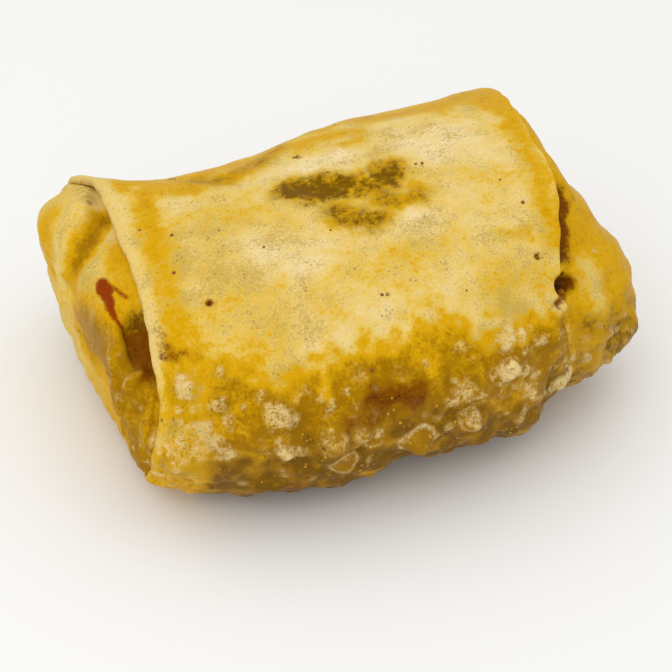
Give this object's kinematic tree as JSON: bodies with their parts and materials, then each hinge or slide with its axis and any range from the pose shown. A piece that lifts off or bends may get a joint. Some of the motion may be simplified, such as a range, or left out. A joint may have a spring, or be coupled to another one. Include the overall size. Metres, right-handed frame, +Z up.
{
  "type": "egg roll",
  "caption": "Plump fried egg roll: a blistered golden wrapper rolled round a filling into a squat oval log, its sides folded in behind an open rim at each end. It rests on its flat underside.",
  "frame": {"origin": "under the middle of the roll's bounding box, on the surface that the roll rests on", "axes": "+X along the roll, from the end with the thick open rim to the plump taller end; +Y across it, from the blistered front to the back; +Z up"},
  "size_m": [0.0896, 0.0704, 0.0409],
  "materials": {
    "fried_wrapper": "fried dough, slightly oily satin, opaque"
  },
  "bodies": {
    "root": {"egg_roll": "fried_wrapper"}
  },
  "joints": []
}
